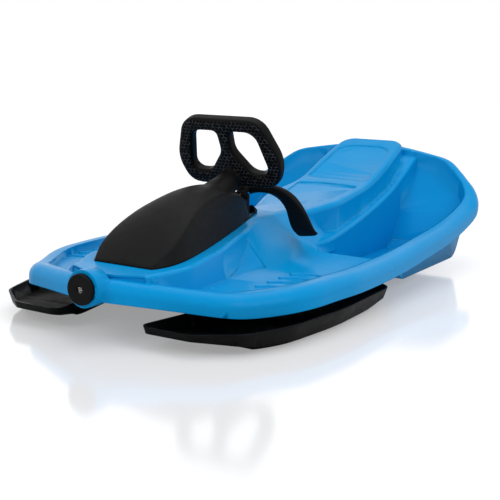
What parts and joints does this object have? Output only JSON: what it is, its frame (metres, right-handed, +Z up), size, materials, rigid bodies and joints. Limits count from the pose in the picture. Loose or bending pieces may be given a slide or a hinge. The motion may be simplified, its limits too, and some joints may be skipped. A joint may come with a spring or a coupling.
{
  "type": "steering sled",
  "caption": "Moulded plastic snow sled with a steering wheel that turns its front skis, a pull-up brake lever and a retracting tow rope",
  "frame": {"origin": "middle of the footprint, on the ground", "axes": "-Y is the nose, +X the rider's left, +Z up"},
  "size_m": [0.6226, 1.183, 0.3526],
  "materials": {
    "hull_plastic": "gloss",
    "black_plastic": "satin",
    "wheel_plastic": "matte",
    "ski_plastic": "satin",
    "bearing_plastic": "matte",
    "zinc_steel": "satin",
    "insert_brass": "satin",
    "rope_fabric": "matte"
  },
  "bodies": {
    "hull_body": {"hull": "hull_plastic", "cowl": "black_plastic", "column_upper_bush": "bearing_plastic", "column_lower_bush": "bearing_plastic", "column_bearing_block": "bearing_plastic", "steering_cross_member": "zinc_steel", "cross_member_screws": "zinc_steel", "rocker_pivot": "zinc_steel", "ski_pivot_bolt_left": "zinc_steel", "ski_pivot_bolt_right": "zinc_steel", "pivot_insert_left": "insert_brass", "pivot_insert_right": "insert_brass", "pivot_washer_left": "bearing_plastic", "pivot_washer_right": "bearing_plastic", "brake_bracket": "zinc_steel", "reel_housing": "bearing_plastic", "reel_cover": "bearing_plastic", "reel_axle": "zinc_steel"},
    "steering": {"steering_wheel": "wheel_plastic", "steering_column": "zinc_steel", "steering_crank": "zinc_steel", "crank_pin": "zinc_steel"},
    "rocker": {"steering_rocker": "zinc_steel"},
    "tie": {"tie_bar": "zinc_steel"},
    "left_ski": {"ski_left": "ski_plastic", "ski_arm_left": "zinc_steel", "ski_bush_left": "bearing_plastic"},
    "right_ski": {"ski_right": "ski_plastic", "ski_arm_right": "zinc_steel", "ski_bush_right": "bearing_plastic"},
    "brake": {"brake_lever": "black_plastic", "brake_shaft": "zinc_steel", "brake_claw": "zinc_steel"},
    "tow": {"tow_handle": "black_plastic", "rope_knot": "rope_fabric", "tow_rope": "rope_fabric"},
    "reel": {"reel_drum": "bearing_plastic", "rope_winding": "rope_fabric"}
  },
  "joints": [
    {"name": "steering_turn", "type": "hinge", "parent": "hull_body", "child": "steering", "pos_m": [0, -0.129, 0.234], "axis": [0, 0.9063, 0.4226], "range_deg": [-25, 25]},
    {"name": "rocker_swing", "type": "hinge", "parent": "hull_body", "child": "rocker", "pos_m": [0, -0.3369, 0.076], "axis": [0, 0, 1], "range_deg": [-28.5, 28.5]},
    {"name": "tie_slide", "type": "slide", "parent": "hull_body", "child": "tie", "axis": [1, 0, 0], "range_m": [-0.0155, 0.0155]},
    {"name": "left_ski_turn", "type": "hinge", "parent": "hull_body", "child": "left_ski", "pos_m": [0.205, -0.2449, 0.025], "axis": [0, 0, 1], "range_deg": [-15, 15]},
    {"name": "right_ski_turn", "type": "hinge", "parent": "hull_body", "child": "right_ski", "pos_m": [-0.205, -0.2449, 0.025], "axis": [0, 0, 1], "range_deg": [-15, 15]},
    {"name": "brake_pull", "type": "hinge", "parent": "hull_body", "child": "brake", "pos_m": [0, -0.1, 0.19], "axis": [1, 0, 0], "range_deg": [0, 34], "stiffness_Nm_per_rad": 2, "springref_deg": -28.65},
    {"name": "tow_pull", "type": "slide", "parent": "hull_body", "child": "tow", "axis": [0, -1, 0], "range_m": [0, 0.8], "stiffness_N_per_m": 4, "springref_m": -1, "deforming": ["tow_rope"]},
    {"name": "reel_spin", "type": "hinge", "parent": "hull_body", "child": "reel", "pos_m": [-0.02, -0.512, 0.08], "axis": [0, 0, 1], "range_deg": [-2300, 10]}
  ],
  "couplings": [
    {"joint": "rocker_swing", "follows": "steering_turn", "ratio": -1.12},
    {"joint": "tie_slide", "follows": "steering_turn", "m_per_rad": 0.0348},
    {"joint": "left_ski_turn", "follows": "steering_turn", "ratio": 0.584},
    {"joint": "right_ski_turn", "follows": "steering_turn", "ratio": 0.584},
    {"joint": "reel_spin", "follows": "tow_pull", "rad_per_m": -50}
  ]
}
